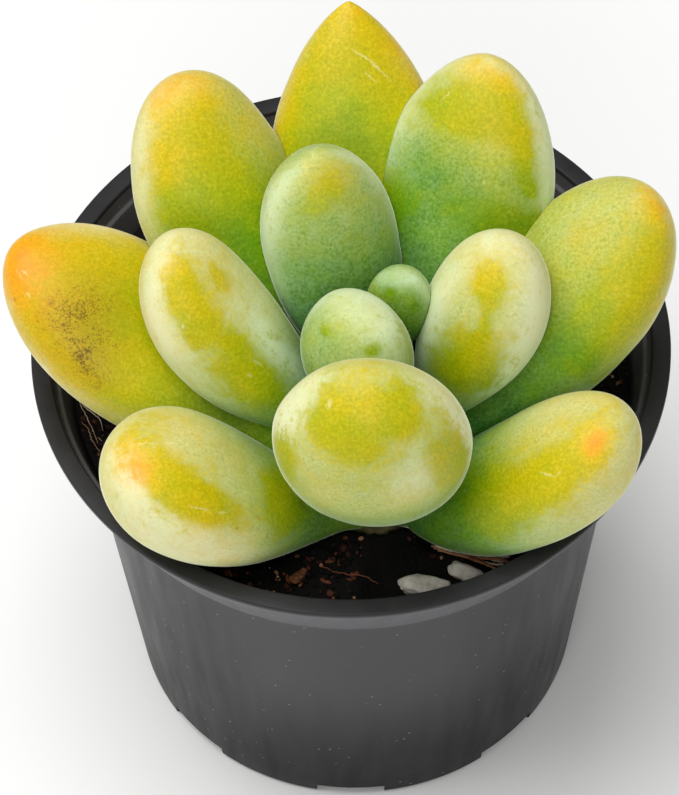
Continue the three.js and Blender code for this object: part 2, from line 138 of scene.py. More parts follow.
# How a leaf is painted. ripe is the colour under the bloom, 0 teal, 0.25 green, 0.5 yellow green, 0.75
# golden and 1 orange, at the foot and at the tip. The pale field is how thick the pale wax lies, and it also
# carries a painted sheen: the pale that the leaves show along their outlines, where the bloom is seen at a
# grazing angle. rim is how much more of it lies on the leaf's two edges, partly real wax, which stays
# thickest where nothing rubs, and partly that painted sheen; the pale field's touches along an edge are the
# same. Each touch adds to its field round a place: along, around in degrees, reach along, reach around, and
# amount. Around is 0 on the leaf's right edge seen from its foot, 90 on top and 180 on its left edge.
LEAVES = [
    dict(name="leaf_front", root=57, tip=(2, -25, 86), sag=3, width=20.8, thick=14.5, swell=0.75,
         skin="leaf_golden", ripe=(0.2, 0.56), rim=0.25, bloom_and_sheen=0.34, touches=dict(
             ripe=[(0.96, 255, 0.035, 50, 0.06), (0.6, 260, 0.1, 70, 0.06)],
             # The pale touches on top and on both sides of the belly lie along its outline: painted sheen
             # over real bloom
             bloom_and_sheen=[(0.82, 203, 0.08, 14, 0.25), (0.72, 300, 0.1, 16, 0.25), (0.86, 90, 0.09, 60, 0.3),
                    (0.72, 0, 0.1, 24, 0.3), (0.74, 184, 0.1, 24, 0.3)],
             rubbed=[(0.89, 240, 0.055, 26, 1.15), (0.92, 298, 0.045, 24, 1.15),
                     (0.84, 264, 0.05, 22, 0.7), (0.97, 280, 0.03, 120, 0.45), (0.62, 207, 0.14, 15, 1.2),
                     (0.68, 332, 0.17, 17, 1)])),
    dict(name="leaf_centre", root=64, tip=(1, -13, 79.5), sag=0, width=13, thick=11, swell=0.75,
         skin="leaf_pale", ripe=(0.1, 0.42), rim=0.1, bloom_and_sheen=0.3, touches=dict(
             ripe=[(0.97, 270, 0.06, 200, 0.1)],
             bloom_and_sheen=[(0.9, 90, 0.1, 70, 0.6), (0.75, 190, 0.14, 26, 0.4), (0.75, -10, 0.14, 26, 0.1)],
             rubbed=[(0.9, -20, 0.03, 14, 0.7), (0.9, 255, 0.025, 10, 0.7), (0.8, 80, 0.1, 60, 0.3)])),
    dict(name="leaf_smallest", root=66, tip=(5, -5.5, 76), sag=0, bow=-0.5, width=7, thick=6, swell=0.75,
         skin="leaf_pale", ripe=(0.2, 0.36), rim=0.12, bloom_and_sheen=0.16, touches=dict(
             bloom_and_sheen=[(0.8, 170, 0.2, 30, 0.25), (0.95, 90, 0.08, 180, 0.3)],
             rubbed=[(0.7, 130, 0.08, 12, 0.7), (0.85, 80, 0.05, 15, 0.6)])),
    dict(INNER_FORM, name="leaf_inner_left", root=59, start=180, tip=(-18.5, -3, 80), sag=3, bow=2, width=14,
         skin="leaf_green", ripe=(0.28, 0.62), rim=0.22, bloom_and_sheen=0.38, touches=dict(
             ripe=[(0.94, 35, 0.05, 35, 0.1), (0.45, 48, 0.13, 30, 0.16)],
             bloom_and_sheen=[(0.6, 120, 0.3, 25, 0.15), (0.8, -10, 0.2, 20, 0.15), (0.42, 92, 0.25, 16, 0.45),
                    (0.98, 100, 0.04, 120, 0.1)],
             rubbed=[(0.87, 44, 0.075, 22, 1.2), (0.74, 46, 0.08, 18, 1.1), (0.83, 88, 0.06, 14, 0.45),
                     (0.6, 64, 0.06, 10, 0.7), (0.45, 50, 0.15, 25, 1.05)])),
    dict(INNER_FORM, name="leaf_inner_right", root=59, start=0, tip=(16.5, -3.5, 79.5), sag=1, bow=-1.5,
         width=13.5, skin="leaf_green", ripe=(0.28, 0.6), rim=0.22, bloom_and_sheen=0.38, touches=dict(
             ripe=[(0.9, 112, 0.06, 22, 0.05), (0.45, 118, 0.13, 34, 0.15)],
             bloom_and_sheen=[(0.55, 185, 0.3, 34, 0.45), (0.6, 70, 0.25, 15, 0.1), (0.5, 60, 0.3, 16, 0.45),
                    # The last pale touch is partly thick bloom and partly painted light on a flank that its
                    # neighbours shade
                    (0.98, 100, 0.04, 120, 0.1), (0.6, 18, 0.3, 24, 0.4)],
             rubbed=[(0.84, 110, 0.08, 16, 1.15), (0.66, 118, 0.1, 10, 0.6), (0.46, 122, 0.13, 34, 1.1)])),
    dict(name="leaf_inner_back", root=62, tip=(-3, 4, 84), sag=4, width=15, thick=12, blunt=0.6,
         skin="leaf_pale", ripe=(0.12, 0.44), bloom_and_sheen=0.27, touches=dict(
             ripe=[(0.95, 90, 0.08, 70, 0.2)],
             bloom_and_sheen=[(0.66, 5, 0.2, 24, 0.16), (0.66, 172, 0.2, 24, 0.2)],
             rubbed=[(0.92, 88, 0.06, 30, 0.6)])),
    dict(name="leaf_back_right", root=60, tip=(15.5, 16.5, 84), sag=5, width=20, blunt=0.58,
         skin="leaf_green", ripe=(0.1, 0.52), bloom_and_sheen=0.2, touches=dict(
             ripe=[(0.98, 90, 0.04, 180, 0.16), (0.68, 76, 0.12, 45, -0.12), (0.88, 115, 0.1, 50, 0.1)],
             bloom_and_sheen=[(0.75, 30, 0.3, 26, 0.2), (0.7, 172, 0.3, 16, 0.3)],
             rubbed=[(0.9, 108, 0.06, 30, 0.8), (0.85, 72, 0.04, 40, 0.6), (0.78, 138, 0.08, 9, 0.85),
                     (0.575, 112, 0.05, 17, 1.25), (0.57, 148, 0.05, 24, 1.1), (0.69, 146, 0.03, 8, 0.8),
                     (0.52, 50, 0.07, 18, 1), (0.9, 100, 0.09, 50, 0.35)])),
    dict(name="leaf_back_left", root=58, tip=(-17.5, 16.5, 82), sag=5, bow=1.5, width=18, blunt=0.48,
         belly=0.65, skin="leaf_green", ripe=(0.22, 0.6), rim=0.15, bloom_and_sheen=0.15, touches=dict(
             ripe=[(0.98, 80, 0.04, 180, 0.14), (0.88, 40, 0.12, 40, 0.08), (0.6, 80, 0.14, 50, -0.08),
                   (0.55, 80, 0.2, 90, -0.05)],
             bloom_and_sheen=[(0.8, 150, 0.2, 35, 0.15), (0.82, 5, 0.2, 24, 0.3)],
             rubbed=[(0.84, 68, 0.13, 28, 0.95), (0.66, 62, 0.16, 30, 0.85), (0.5, 95, 0.14, 55, 1.2)])),
    dict(name="leaf_back", root=55.5, tip=(0.5, 24.5, 84), sag=5, width=19.5, blunt=0.8, belly=0.6,
         skin="leaf_golden", ripe=(0.28, 0.72), rim=0.15, bloom_and_sheen=0.12, touches=dict(
             ripe=[(0.76, 82, 0.15, 45, -0.22), (0.62, 80, 0.12, 60, -0.04), (0.66, 80, 0.2, 90, -0.05)],
             rubbed=[(0.78, 78, 0.13, 42, 1.3), (0.6, 85, 0.15, 50, 1.2), (0.93, 120, 0.05, 40, 0.5)])),
    dict(name="leaf_outer_right", root=55.5, tip=(32, 4, 77), sag=2.5, bow=-1, width=18.5, belly=0.64,
         swell=1.4, skin="leaf_green", ripe=(0.16, 0.56), rim=0.2, bloom_and_sheen=0.2, touches=dict(
             ripe=[(0.8, 175, 0.25, 35, 0.08), (0.98, 160, 0.04, 70, 0.18), (0.5, 120, 0.15, 90, -0.05)],
             bloom_and_sheen=[(0.85, 70, 0.2, 24, 0.12), (0.85, 208, 0.2, 16, 0.3)],
             rubbed=[(0.76, 168, 0.22, 24, 0.9), (0.64, 135, 0.2, 16, 0.8), (0.56, 185, 0.06, 28, 1)])),
    dict(name="leaf_outer_left", root=54, tip=(-36, 0.5, 73), sag=3, bow=-1, width=20, blunt=0.55, belly=0.62,
         swell=0.9, skin="leaf_golden", ripe=(0.3, 0.7), rim=0.2, bloom_and_sheen=0.12, touches=dict(
             ripe=[(0.98, 60, 0.06, 110, 0.16), (0.74, 60, 0.12, 60, -0.07), (0.8, 30, 0.12, 30, 0.1),
                   (0.62, 90, 0.16, 40, -0.08)],
             bloom_and_sheen=[(0.84, 152, 0.16, 24, 0.3), (0.82, -15, 0.16, 20, 0.4)],
             rubbed=[(0.8, 50, 0.16, 50, 1.3), (0.62, 80, 0.16, 50, 1.1), (0.97, 50, 0.04, 50, 0.9)],
             specks=[(0.78, 50, 0.14, 46, 1.1), (0.7, 30, 0.06, 16, 0.4)])),
    dict(name="leaf_low_right", root=51.5, start=340, out=4, tip=(28.5, -20.5, 71), sag=1.5, bow=-2,
         width=15.5, thick=13, swell=0.75, skin="leaf_golden", ripe=(0.16, 0.62), rim=0.12, bloom_and_sheen=0.3,
         touches=dict(
             ripe=[(0.91, 140, 0.05, 18, 0.26), (0.5, 134, 0.2, 30, 0.16)],
             # Both pale touches lie along the leaf's outline: painted sheen over real bloom
             bloom_and_sheen=[(0.8, 60, 0.25, 28, 0.15), (0.85, 215, 0.25, 22, 0.15)],
             rubbed=[(0.48, 132, 0.2, 32, 1.1), (0.8, 138, 0.16, 22, 1.1)])),
    dict(name="leaf_low_left", root=51.5, start=200, out=4, tip=(-24.5, -22.5, 70), sag=2, bow=1.5, width=17,
         belly=0.66, swell=1.5, skin="leaf_golden", ripe=(0.24, 0.6), rim=0.22, bloom_and_sheen=0.41, touches=dict(
             ripe=[(0.95, 24, 0.05, 36, 0.22), (0.36, 66, 0.12, 30, 0.14), (0.6, 30, 0.2, 50, 0.08),
                   (0.5, 0, 0.15, 40, 0.12)],
             bloom_and_sheen=[(0.75, -32, 0.3, 22, 0.2)],
             rubbed=[(0.86, 40, 0.1, 20, 1.1), (0.72, 42, 0.12, 15, 1.2), (0.36, 66, 0.1, 27, 1.4),
                     (0.95, 100, 0.05, 60, 0.4)])),
]
FIELDS = ("ripe", "bloom_and_sheen", "rubbed", "specks")

# Where along a leaf each of these starts to rise, and over what length
RIPENING = (0.15, 0.7)
BLOOM_RISE = (0.15, 0.5)
RIM_RISE = (0.2, 0.3)
RIM_EVENS_OUT = (0.88, 0.12)  # towards the tip the rim's pale band, bloom and painted sheen, goes all round
SHADED_FOOT_BLOOM = 0.4  # share of the bloom that lies at the foot; the thinner bloom there is partly real and partly painted shade
TIP_RIM = 0.2  # share of the rim's pale band, bloom and painted sheen, that lies all round the tip
RIM_NARROW = 8  # the higher, the narrower the pale band of bloom and painted sheen on an edge

# Small marks on each leaf's skin: colour, width in mm, and both ends as (along, around)
MARKS = {
    "leaf_outer_left": [
        ("pale", 0.35, (0.965, 60), (0.955, 60)), ("pale", 0.3, (0.935, 44), (0.925, 42)),
        ("pale", 0.15, (0.98, 52), (0.955, 50)), ("brown", 0.3, (0.95, 12), (0.945, 14))],
    "leaf_back": [
        ("pale", 0.28, (0.92, 94), (0.88, 122)), ("pale", 0.28, (0.9, 110), (0.84, 130)),
        ("pale", 0.18, (0.87, 104), (0.84, 116))],
    "leaf_front": [
        ("pale", 0.6, (0.955, 220), (0.94, 224)), ("olive", 0.25, (0.69, 198), (0.7, 220))],
    "leaf_low_right": [
        ("pale", 0.3, (0.72, 124), (0.76, 136)), ("pale", 0.25, (0.76, 136), (0.79, 136))],
    "leaf_low_left": [
        ("pale", 0.28, (0.985, 76), (0.92, 84)), ("pale", 0.24, (0.92, 84), (0.85, 89)),
        ("pale", 0.3, (0.78, 38), (0.7, 44)), ("pale", 0.25, (0.68, 44), (0.63, 48)),
        ("pale", 0.16, (0.88, -6), (0.78, 32)), ("brown", 0.35, (0.57, 38), (0.565, 38)),
        ("rust", 0.25, (0.515, 52), (0.46, 48)), ("olive", 0.35, (0.42, 42), (0.42, 30)),
        ("pale", 0.9, (0.3, 86), (0.29, 80)), ("brown", 1.1, (0.27, 74), (0.25, 66))],
    "leaf_inner_left": [
        ("pale", 0.28, (0.51, 72), (0.45, 74)), ("pale", 0.35, (0.475, 60), (0.465, 60)),
        ("pale", 0.35, (0.78, 34), (0.77, 34))],
    "leaf_back_right": [
        ("pale", 0.3, (0.705, 112), (0.695, 112)), ("pale", 0.2, (0.93, 60), (0.89, 56))],
    "leaf_back_left": [
        ("rust", 0.5, (0.994, 290), (0.994, 250))],
    "leaf_inner_back": [
        ("pale", 0.5, (0.995, 225), (0.995, 260))],
}
MARK_COLOURS = {"pale": "#f0ebae", "brown": "#6b4318", "rust": "#b8641c", "olive": "#84820c"}
MARK_DEPTH = 1.5  # half of how deep a mark reaches through the skin

STRAND_SIDES = 6
STRAND_STEPS = 8  # points for each place that a strand goes through
STRAND_EASE = 3  # how many points on either side a bend is spread over
STRAND_SHAKE = 0.04
STRAND_RISE = 0.5  # height over the bed
STRAND_WAVER = 0.25  # how far it rises and sinks from there
STRAND_TAPER = 0.35  # how thin its ends are, where 0 is a point and half of pi is full

# Strands on the soil: places along each, thickness and tone
STRANDS = [
    ([(7.8, -23.6), (10.6, -24.6), (13.4, -25), (16.8, -25)], 0.4, 0.9),
    ([(8.2, -23.9), (11.2, -24.9), (14.2, -25.3), (17, -25.6)], 0.34, 0.97),
    ([(8, -24), (11, -25.1), (14.6, -25.7), (16.8, -26.1)], 0.44, 0.86),
    ([(8.8, -24.2), (11.8, -25.3), (14.4, -26.1), (16.4, -26.7)], 0.32, 0.97),
    ([(8.4, -24.4), (11.6, -25.5), (14, -26.3), (15.8, -27.1)], 0.38, 0.84),
    ([(9.4, -24), (12.6, -25), (15.4, -25.8), (17.4, -25.9)], 0.26, 1),
    ([(-30, -3.6), (-29.3, -5.6), (-28.5, -7.6), (-27.7, -9.6)], 0.09, 0.93),
    ([(-29.6, -4.4), (-28.5, -5.3), (-27.6, -6.4), (-27.2, -8)], 0.1, 0.96),
    ([(-29.8, -6.4), (-28.9, -7.4), (-28.6, -9), (-27.4, -10.8)], 0.08, 0.92),
    ([(-29.9, -2), (-29.9, -3.4), (-29.5, -4.6)], 0.08, 0.9),
    ([(-27.9, -8.8), (-27, -9.6), (-26.8, -11)], 0.08, 0.92),
    ([(-4, -26), (-1.8, -27), (1, -27.4), (2.6, -28.4)], 0.16, 0.72),
    ([(24.6, -12.4), (26.4, -13.6), (27.6, -12.6)], 0.16, 0.85),
]
STONES = [
    dict(name="stone_large", at=(7.3, -28.5, 50.6), half=(2.8, 1.65, 1.2), turn=7, seed=5),
    dict(name="stone_small", at=(11.9, -26.8, 50.3), half=(2.1, 1.25, 0.9), turn=-15, seed=9),
]
CHIPS = [
    dict(name="bark_chip_left", at=(-6.1, -27.4, 50.9), half=(1.2, 0.75, 0.4), turn=35, seed=3),
    dict(name="bark_chip_back", at=(18.5, 18.5, 51.15), half=(1.4, 0.85, 0.45), turn=-20, seed=4),
]

# Lamps: name, place, size across and power
SOFTBOXES = [
    ("softbox_above", (-250, 60, 950), 800, 8.5),
    ("softbox_right", (800, -100, 500), 500, 0.3),
    ("softbox_left", (-800, -250, 350), 400, 0.5),
    ("softbox_front", (-100, -800, 700), 500, 2.3),
]
ROOM_LIGHT = 0.32
FLOOR_HALF = 2000


def linear(hex_colour):
    """An sRGB hex colour as linear red, green, blue and alpha."""
    shares = [int(hex_colour[i:i + 2], 16) / 255 for i in (1, 3, 5)]
    return [s / 12.92 if s <= 0.04045 else ((s + 0.055) / 1.055) ** 2.4 for s in shares] + [1]


def add_node(tree, kind, inputs=None, stops=None, **settings):
    """Adds a node with its settings. An input is a value, an output, or a node for its first output."""
    node = tree.nodes.new("ShaderNode" + kind)
    for name, value in settings.items():
        setattr(node, name, value)
    for key, value in (inputs or {}).items():
        if isinstance(value, bpy.types.Node):
            value = value.outputs[0]
        if isinstance(value, bpy.types.NodeSocket):
            tree.links.new(value, node.inputs[key])
        else:
            node.inputs[key].default_value = value
    if stops:
        elements = node.color_ramp.elements
        elements[0].position, elements[1].position = stops[0][0], stops[-1][0]
        for place, _ in stops[1:-1]:
            elements.new(place)
        for element, (_, colour) in zip(elements, stops):
            element.color = linear(colour) if isinstance(colour, str) else (colour, colour, colour, 1)
    return node


def new_material(name):
    """An empty material, what adds a node to it, and the object's own coordinates in metres."""
    material = bpy.data.materials.new(name)
    material.use_nodes = True
    material.node_tree.nodes.clear()
    add = partial(add_node, material.node_tree)
    return material, add, add("TexCoord").outputs["Object"]


def per_mm(size):
    """A texture scale, in turns per metre, for a pattern of this size in millimetres."""
    return 1 / (size * MM)


def finished(material, add, colour, rough, relief, inputs):
    """The material with its surface. rough is a texture, the values of it that give the first and the
    second roughness, and both roughnesses. relief is a height, how strong it is and its depth in metres."""
    texture, low, high, first, second = rough
    roughness = add("MapRange", {0: texture, 1: low, 2: high, 3: first, 4: second})
    inputs = {"Base Color": colour, "Roughness": roughness, **inputs}
    if relief:
        height, strength, depth = relief
        inputs["Normal"] = add("Bump", {"Height": height, "Strength": strength, "Distance": depth})
    add("OutputMaterial", {"Surface": add("BsdfPrincipled", inputs)})
    return material


# Leaf skin: waxy epidermis grown under a powdery bloom. The flesh below is clear yellow green and
# scatters light a millimetre or two; the bloom is a dull pale film, thick where nothing has rubbed it. The
# pale field also carries a painted sheen along the leaves' edges.
LEAF_UNDER = [
    (0, "#2a5a3a"), (0.12, "#386e1c"), (0.28, "#659204"), (0.5, "#a6ae00"), (0.7, "#d4b800"),
    (0.86, "#eca40a"), (1, "#ee7e1e")]
LEAF_BLOOM = [(0, "#a8d4b8"), (0.2, "#c8e4c2"), (0.42, "#dfecc2"), (0.7, "#f3edc0"), (1, "#fcdcae")]
FILM = 0.9  # how much of the colour below a full bloom hides
MARK_WAVER = 0.0007  # how far a mark's edge wavers, in metres


def leaf_skin(name, green_shift, marks):
    material, add, place = new_material(name)
    fields = {f: add("Attribute", attribute_name=f).outputs["Fac"] for f in FIELDS}
    run = add("Attribute", attribute_name="run").outputs["Vector"]
    cloud = add("TexNoise", {"Vector": place, "Scale": per_mm(6), "Detail": 4, "Roughness": 0.6})
    blotch = add("TexNoise", {"Vector": place, "Scale": per_mm(2.4), "Detail": 5, "Roughness": 0.65,
                              "Distortion": 0.5})
    # The lines in rubbed wax are finer than this, and are drawn coarse enough to show
    drawn = add("Mapping", {"Vector": run, "Scale": (0.28, 1, 1)})
    fibre = add("TexNoise", {"Vector": drawn, "Scale": per_mm(0.8), "Detail": 4, "Roughness": 0.75})
    grain = add("TexNoise", {"Vector": place, "Scale": per_mm(0.34), "Detail": 2, "Roughness": 0.6})

    level = fields["ripe"]
    for texture, share in ((cloud, 0.24), (blotch, 0.2), (grain, 0.1)):
        level = add("Math", {0: texture, 1: share, 2: level}, operation="MULTIPLY_ADD")
    ripe = add("Math", {0: level, 1: 0.27 + green_shift}, operation="SUBTRACT")
    under = add("ValToRGB", {0: ripe}, stops=LEAF_UNDER)
    wax = add("ValToRGB", {0: ripe}, stops=LEAF_BLOOM)
    cells = add("MapRange", {0: grain, 1: 0.3, 2: 0.7, 3: 0.88, 4: 1.13})
    flesh = add("Mix", {0: 1.0, 6: under, 7: cells}, data_type="RGBA", blend_type="MULTIPLY")

    # Rubbed places have a broken, wispy edge
    edge = fields["rubbed"]
    for texture, share in ((blotch, 1.3), (fibre, 1.3), (grain, 1.2)):
        edge = add("Math", {0: texture, 1: share, 2: edge}, operation="MULTIPLY_ADD")
    half_edge = add("Math", {0: edge, 1: 0.5, 2: -0.45}, operation="MULTIPLY_ADD")
    bare = add("ValToRGB", {0: half_edge}, stops=[
        (0.42, 1.0), (0.56, 0.85), (0.66, 0.55), (0.76, 0.25), (0.95, 0.03)])
    # The film is even where it is thick and grainy where it is thin
    powder = add("Math", {0: fibre, 1: 0.8, 2: grain}, operation="MULTIPLY_ADD")
    unrubbed = add("Math", {0: fields["bloom_and_sheen"], 1: bare}, operation="MULTIPLY")
    powdered = add("Math", {0: powder, 1: 0.45, 2: unrubbed}, operation="MULTIPLY_ADD")
    pale_layer = add("MapRange", {0: powdered, 1: 0.42, 2: 1.25, 3: 0, 4: FILM}, interpolation_type="SMOOTHSTEP")
    waxed = add("Mix", {0: pale_layer, 6: flesh.outputs[2], 7: wax}, data_type="RGBA")

    # Fine brown specks, 0.1 to 0.3 mm, on a browner ground, where the skin was scuffed
    spots = add("TexNoise", {"Vector": place, "Scale": per_mm(0.24), "Detail": 3, "Roughness": 0.7})
    gathered = add("Math", {0: blotch, 1: 0.7, 2: spots}, operation="MULTIPLY_ADD")
    spotted = add("Math", {0: fields["specks"], 1: 0.14, 2: gathered}, operation="MULTIPLY_ADD")
    scuffed = add("MapRange", {0: spotted, 1: 0.99, 2: 1.16, 3: 0, 4: 0.75})
    scuff = add("Math", {0: scuffed, 1: fields["specks"]}, operation="MULTIPLY", use_clamp=True)
    cast = add("Math", {0: fields["specks"], 1: 0.4}, operation="MULTIPLY", use_clamp=True)
    browned = add("Mix", {0: cast, 6: waxed.outputs[2], 7: linear("#94740a")}, data_type="RGBA")
    colour = add("Mix", {0: scuff, 6: browned.outputs[2], 7: linear("#5a4206")}, data_type="RGBA")

    # Each mark is a thin lens round the line between its ends, with a wavering edge
    waver = add("VectorMath", {0: grain.outputs["Color"], 1: (MARK_WAVER,) * 3, 2: place},
                operation="MULTIPLY_ADD")
    for shade, middle, turn, half in marks:
        lens = add("Mapping", {"Vector": waver, "Location": middle, "Rotation": turn, "Scale": half},
                   vector_type="TEXTURE")
        away = add("VectorMath", {0: lens}, operation="LENGTH")
        mark = add("MapRange", {0: away.outputs["Value"], 1: 0.2, 2: 1.1, 3: 0.45, 4: 0})
        colour = add("Mix", {0: mark, 6: colour.outputs[2], 7: linear(shade)}, data_type="RGBA")

    relief = add("Math", {0: grain, 1: 0.6, 2: fibre}, operation="MULTIPLY_ADD")
    return finished(material, add, colour.outputs[2], (pale_layer, 0, 0.8, 0.42, 0.68), (relief, 0.25, 0.0001), {
        "IOR": 1.42, "Specular IOR Level": 0.35, "Subsurface Weight": 0.15, "Subsurface Scale": 0.0015,
        "Subsurface Radius": (1.0, 0.85, 0.25), "Sheen Weight": 1.0, "Sheen Roughness": 0.2,
        "Sheen Tint": linear("#f0f5e6")})


# Black polypropylene, injection moulded: satin, a faint orange peel, fine scratches and dry dust, with a
# painted highlight on the upper wall and on the collar.
# Where each thing on it begins and is full, in metres up from the underside or out from the middle.
LEDGE_DUST = (0.0496, 0.0532)
# The painted highlight: its heights on the wall and on the collar, and where its middle band begins to fade
# and has faded
WALL_HIGHLIGHT = (0.006, 0.031)
COLLAR_HIGHLIGHT = (0.0445, 0.047)
LIP = (0.054, 0.055)
LIP_MIDDLE = 0.0545
HIGHLIGHT_BAND = (0.008, 0.019)


def pot_polypropylene():
    material, add, place = new_material("black_polypropylene")
    cloud = add("TexNoise", {"Vector": place, "Scale": per_mm(9), "Detail": 5, "Roughness": 0.6})
    peel = add("TexNoise", {"Vector": place, "Scale": per_mm(0.6), "Detail": 3})
    drawn = add("Mapping", {"Vector": place, "Scale": (1, 1, 0.12)})
    streak = add("TexNoise", {"Vector": drawn, "Scale": per_mm(2.2), "Detail": 4})
    dust_cells = add("TexVoronoi", {"Vector": place, "Scale": per_mm(1.4)})
    dust_size = add("MapRange", {0: dust_cells.outputs["Distance"], 1: 0.05, 2: 0.12, 3: 1, 4: 0})
    # More dust lies on the ledge inside the lip, where watering leaves it
    across, _, height = add("SeparateXYZ", {"Vector": place}).outputs
    ledge = add("MapRange", {0: height, 1: LEDGE_DUST[0], 2: LEDGE_DUST[1], 3: 0.4, 4: 0.7})
    below_lip = add("Math", {0: height, 1: LIP_MIDDLE}, operation="LESS_THAN")
    dust_share = add("Math", {0: ledge, 1: below_lip}, operation="MULTIPLY")
    dust_few = add("Math", {0: dust_cells.outputs["Color"], 1: dust_share}, operation="LESS_THAN")
    dust = add("Math", {0: dust_size, 1: dust_few}, operation="MULTIPLY")
    tone = add("ValToRGB", {0: cloud}, stops=[(0.3, "#060607"), (0.5, "#0b0b0c"), (0.72, "#131314")])
    # A pale streaky layer, none at the foot and full on the upper wall, is a painted highlight: it leaves the
    # lower wall dark and the upper wall lighter
    upper = add("MapRange", {0: height, 1: WALL_HIGHLIGHT[0], 2: WALL_HIGHLIGHT[1], 3: 0, 4: 0.9},
                interpolation_type="SMOOTHSTEP")
    streaked = add("MapRange", {0: streak, 1: 0.3, 2: 0.75, 3: 0.8, 4: 1})
    pale_layer = add("Math", {0: upper, 1: streaked}, operation="MULTIPLY")
    # The painted highlight is full in a band down the middle of the front and of the back, half as strong on
    # the flanks, and about a third as strong on the lip all round
    flank = add("Math", {0: across}, operation="ABSOLUTE")
    flank_highlight = add("MapRange", {0: height, 1: LIP[0], 2: LIP[1], 3: 0.5, 4: 1})
    banded_highlight = add("MapRange", {0: flank, 1: HIGHLIGHT_BAND[0], 2: HIGHLIGHT_BAND[1], 3: 1, 4: flank_highlight},
                  interpolation_type="SMOOTHSTEP")
    wall_highlight = add("Math", {0: pale_layer, 1: banded_highlight}, operation="MULTIPLY")
    lip_highlight = add("MapRange", {0: height, 1: LIP[0], 2: LIP[1], 3: 1, 4: 0.35})
    painted_highlight = add("Math", {0: wall_highlight, 1: lip_highlight}, operation="MULTIPLY")
    # A lighter band on the collar, below the lip: painted highlight
    collar = add("MapRange", {0: height, 1: COLLAR_HIGHLIGHT[0], 2: COLLAR_HIGHLIGHT[1], 3: 0, 4: 0.42})
    collar_highlight = add("Math", {0: collar, 1: below_lip}, operation="MULTIPLY")
    # Over the black lie the wall's painted highlight, the collar's painted highlight and the real dust
    colour = tone.outputs[0]
    for amount, shade in ((painted_highlight, "#4b4a4d"), (collar_highlight, "#737175"), (dust, "#8a8782")):
        colour = add("Mix", {0: amount, 6: colour, 7: linear(shade)}, data_type="RGBA").outputs[2]
    # Short level scratches from stacking
    level = add("Mapping", {"Vector": place, "Scale": (0.12, 0.12, 3)})
    scratch = add("TexNoise", {"Vector": level, "Scale": per_mm(0.8), "Detail": 2})
    scored = add("MapRange", {0: scratch, 1: 0.68, 2: 0.74, 3: 0, 4: 1})
    relief = add("Math", {0: scored, 1: -1.5, 2: peel}, operation="MULTIPLY_ADD")
    return finished(material, add, colour, (streak, 0.3, 0.7, 0.36, 0.48), (relief, 0.12, 0.0001),
                    {"IOR": 1.49, "Specular IOR Level": 0.18})


# Potting soil of peat and composted bark, moist: dull, near black, each crumb its own tone
def potting_soil():
    material, add, place = new_material("peat_and_bark_soil")
    tone = add("Attribute", attribute_name="tone").outputs["Fac"]
    cloud = add("TexNoise", {"Vector": place, "Scale": per_mm(3), "Detail": 6, "Roughness": 0.7})
    grit = add("TexNoise", {"Vector": place, "Scale": per_mm(0.5), "Detail": 4, "Roughness": 0.7})
    mixed = add("Math", {0: cloud, 1: 0.35, 2: tone}, operation="MULTIPLY_ADD")
    level = add("Math", {0: mixed, 1: 0.17}, operation="SUBTRACT")
    colour = add("ValToRGB", {0: level}, stops=[
        (0, "#030202"), (0.35, "#0b0705"), (0.6, "#371e16"), (0.8, "#7a452f"), (0.92, "#b08b64"),
        (1, "#e0d4bf")])
    return finished(material, add, colour, (grit, 0.3, 0.7, 0.75, 0.98), (grit, 0.7, 0.0003),
                    {"IOR": 1.4, "Specular IOR Level": 0.3})


# Young stem, green flesh under a thin buff bark with the pale rings that fallen leaves leave. Its colours are
# darkened as painted shade, since the stem stands in shade under the leaves
def stem_bark_in_painted_shade():
    material, add, place = new_material("young_stem_bark_in_painted_shade")
    cloud = add("TexNoise", {"Vector": place, "Scale": per_mm(2.5), "Detail": 5, "Roughness": 0.65})
    rings = add("TexWave", {"Vector": place, "Scale": per_mm(14), "Distortion": 6, "Detail": 3,
                            "Detail Scale": 3}, bands_direction="Z")
    mixed = add("Math", {0: rings.outputs["Fac"], 1: 0.35, 2: cloud}, operation="MULTIPLY_ADD")
    # These colours are the bark's own, darkened by painted shade
    colour = add("ValToRGB", {0: mixed}, stops=[
        (0.35, "#222a10"), (0.6, "#3a421e"), (0.8, "#564f2e"), (0.95, "#6e6142")])
    return finished(material, add, colour, (cloud, 0.3, 0.7, 0.5, 0.75), (mixed, 0.5, 0.0003),
                    {"IOR": 1.42, "Subsurface Weight": 0.1, "Subsurface Scale": 0.001})


# White marble grit, crushed: matt broken faces with grey veils and a little soil in the hollows
def crushed_marble():
    material, add, place = new_material("crushed_white_marble")
    veil = add("TexNoise", {"Vector": place, "Scale": per_mm(1.6), "Detail": 6, "Roughness": 0.7})
    grain = add("TexNoise", {"Vector": place, "Scale": per_mm(0.25), "Detail": 3})
    colour = add("ValToRGB", {0: veil}, stops=[
        (0.3, "#93877e"), (0.42, "#b8aea6"), (0.55, "#cdc4bc"), (0.7, "#ded5cc")])
    return finished(material, add, colour, (grain, 0.3, 0.7, 0.6, 0.85), (grain, 0.5, 0.00015),
                    {"IOR": 1.5, "Subsurface Weight": 0.1, "Subsurface Scale": 0.0006})


# Pine bark, broken small: reddish brown layers split along the grain
def pine_bark():
    material, add, place = new_material("pine_bark")
    drawn = add("Mapping", {"Vector": place, "Scale": (0.3, 1, 1)})
    layers = add("TexNoise", {"Vector": drawn, "Scale": per_mm(0.6), "Detail": 5, "Roughness": 0.7})
    colour = add("ValToRGB", {0: layers}, stops=[
        (0.3, "#24120b"), (0.5, "#55301c"), (0.65, "#86532f"), (0.8, "#b08a5e")])
    return finished(material, add, colour, (layers, 0.3, 0.7, 0.7, 0.95), (layers, 0.7, 0.0003),
                    {"IOR": 1.45, "Specular IOR Level": 0.3})


